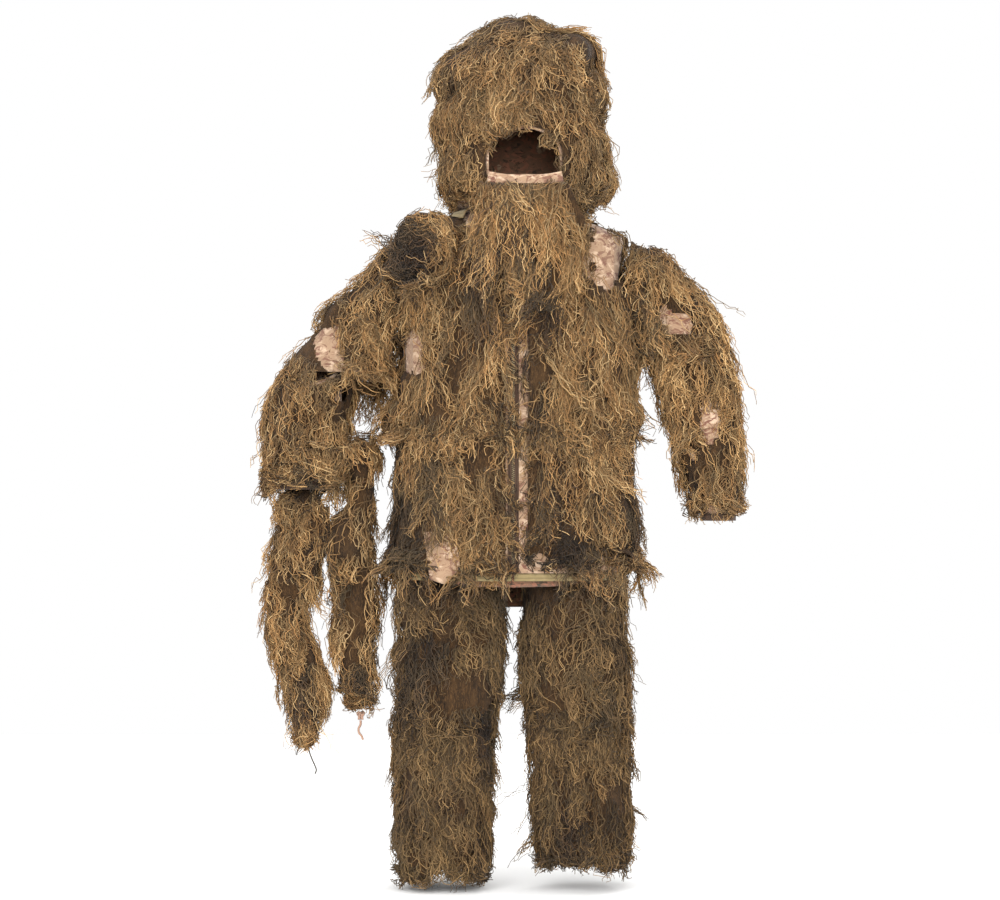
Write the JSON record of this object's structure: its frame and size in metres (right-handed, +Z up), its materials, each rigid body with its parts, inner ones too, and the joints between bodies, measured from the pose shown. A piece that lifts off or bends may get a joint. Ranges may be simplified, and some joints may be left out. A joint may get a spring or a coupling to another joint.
{
  "type": "ghillie suit",
  "caption": "Hooded camouflage jacket with face veil, trousers and a rifle wrap, all covered in hanging threads, worn over clothes to break up the wearer's outline.",
  "frame": {"origin": "middle of the neck seam, where the suit is carried on the wearer's shoulders", "axes": "+Z up, -Y the way the wearer faces, +X to the wearer's left"},
  "size_m": [1.008, 0.3734, 1.8],
  "materials": {
    "camo_cloth": "matte",
    "tan_thread": "matte",
    "brown_thread": "matte",
    "lining": "matte",
    "webbing": "matte",
    "cord_dark": "matte",
    "cord_pink": "matte",
    "toggle_plastic": "matte",
    "zip_metal": "satin"
  },
  "bodies": {
    "jacket": {"jacket_front_right": "camo_cloth", "jacket_front_left": "camo_cloth", "jacket_back": "camo_cloth", "collar": "camo_cloth", "zip_tape_right": "webbing", "zip_tape_left": "webbing", "placket": "camo_cloth", "hem_band": "webbing", "neck_strap": "webbing", "shoulder_tuft": "brown_thread", "chest_threads_right": "tan_thread", "chest_threads_left": "tan_thread", "waist_threads_right": "brown_thread", "waist_threads_left": "brown_thread", "back_threads_upper": "tan_thread", "back_threads_lower": "brown_thread"},
    "zip_slider": {"zip_slider": "zip_metal"},
    "zip_pull": {"zip_pull": "zip_metal"},
    "pocket_flap": {"pocket_flap": "camo_cloth"},
    "hood": {"hood_shell": "camo_cloth", "hood_lining": "lining", "hood_edge_binding": "camo_cloth", "hood_threads": "tan_thread", "hood_fringe_right": "tan_thread", "hood_fringe_left": "tan_thread"},
    "face_veil": {"veil_band": "camo_cloth", "veil_threads": "tan_thread"},
    "upper_arm_right": {"upper_sleeve_right": "camo_cloth", "upper_sleeve_threads_right": "tan_thread", "sleeve_toggle": "toggle_plastic"},
    "upper_arm_left": {"upper_sleeve_left": "camo_cloth", "upper_sleeve_threads_left": "tan_thread"},
    "forearm_right": {"forearm_right": "camo_cloth", "forearm_threads_right": "tan_thread", "cuff_right": "lining", "wrap_sleeve": "brown_thread"},
    "forearm_left": {"forearm_left": "camo_cloth", "forearm_threads_left": "tan_thread", "cuff_left": "lining"},
    "wrap_tail_outer": {"wrap_tail_outer": "tan_thread", "wrap_drawcord_long": "cord_dark", "wrap_drawcord_short": "cord_dark"},
    "wrap_tail_inner": {"wrap_tail_inner": "tan_thread", "wrap_tie_knot": "cord_pink", "wrap_tie_cord": "cord_pink"},
    "trousers": {"waistband": "webbing", "trouser_seat": "camo_cloth"},
    "thigh_right": {"thigh_right": "camo_cloth", "thigh_threads_right": "brown_thread"},
    "thigh_left": {"thigh_left": "camo_cloth", "thigh_threads_left": "brown_thread"},
    "shin_right": {"shin_right": "camo_cloth", "shin_threads_right": "brown_thread", "ankle_hem_right": "lining"},
    "shin_left": {"shin_left": "camo_cloth", "shin_threads_left": "brown_thread", "ankle_hem_left": "lining"}
  },
  "joints": [
    {"name": "hood_tip_back", "type": "hinge", "parent": "jacket", "child": "hood", "pos_m": [0.025, 0.175, 0.022], "axis": [-1, 0, 0], "range_deg": [0, 95]},
    {"name": "veil_lift", "type": "hinge", "parent": "hood", "child": "face_veil", "pos_m": [0.025, -0.1684, 0.081], "axis": [-1, 0, 0], "range_deg": [0, 75]},
    {"name": "zip_slide", "type": "slide", "parent": "jacket", "child": "zip_slider", "axis": [0, -0.0296, -0.9996], "range_m": [0, 0.47]},
    {"name": "zip_pull_swing", "type": "hinge", "parent": "zip_slider", "child": "zip_pull", "pos_m": [0, -0.1512, -0.2275], "axis": [-1, 0, 0], "range_deg": [0, 100]},
    {"name": "pocket_flap_lift", "type": "hinge", "parent": "jacket", "child": "pocket_flap", "pos_m": [-0.151, -0.1692, -0.66], "axis": [-1, 0, 0], "range_deg": [0, 110]},
    {"name": "shoulder_right", "type": "hinge", "parent": "jacket", "child": "upper_arm_right", "pos_m": [-0.25, 0, -0.15], "axis": [-1, 0, 0], "range_deg": [-30, 80]},
    {"name": "shoulder_left", "type": "hinge", "parent": "jacket", "child": "upper_arm_left", "pos_m": [0.25, 0, -0.15], "axis": [-1, 0, 0], "range_deg": [-30, 80]},
    {"name": "elbow_right", "type": "hinge", "parent": "upper_arm_right", "child": "forearm_right", "pos_m": [-0.43, 0, -0.4], "axis": [-1, 0, 0], "range_deg": [0, 80]},
    {"name": "elbow_left", "type": "hinge", "parent": "upper_arm_left", "child": "forearm_left", "pos_m": [0.39, 0, -0.35], "axis": [-1, 0, 0], "range_deg": [0, 80]},
    {"name": "wrap_tail_outer_swing", "type": "hinge", "parent": "forearm_right", "child": "wrap_tail_outer", "pos_m": [-0.449, 0, -0.6194], "axis": [-1, 0, 0], "range_deg": [-25, 25]},
    {"name": "wrap_tail_inner_swing", "type": "hinge", "parent": "forearm_right", "child": "wrap_tail_inner", "pos_m": [-0.317, 0, -0.502], "axis": [-1, 0, 0], "range_deg": [-25, 25]},
    {"name": "trousers_drop", "type": "slide", "parent": "jacket", "child": "trousers", "axis": [0, 0, -1], "range_m": [0, 0.1]},
    {"name": "hip_right", "type": "hinge", "parent": "trousers", "child": "thigh_right", "pos_m": [-0.13, 0, -0.83], "axis": [-1, 0, 0], "range_deg": [-15, 60]},
    {"name": "hip_left", "type": "hinge", "parent": "trousers", "child": "thigh_left", "pos_m": [0.13, 0, -0.83], "axis": [-1, 0, 0], "range_deg": [-15, 60]},
    {"name": "knee_right", "type": "hinge", "parent": "thigh_right", "child": "shin_right", "pos_m": [-0.147, 0, -1.11], "axis": [1, 0, 0], "range_deg": [0, 90]},
    {"name": "knee_left", "type": "hinge", "parent": "thigh_left", "child": "shin_left", "pos_m": [0.145, 0, -1.11], "axis": [1, 0, 0], "range_deg": [0, 90]}
  ]
}
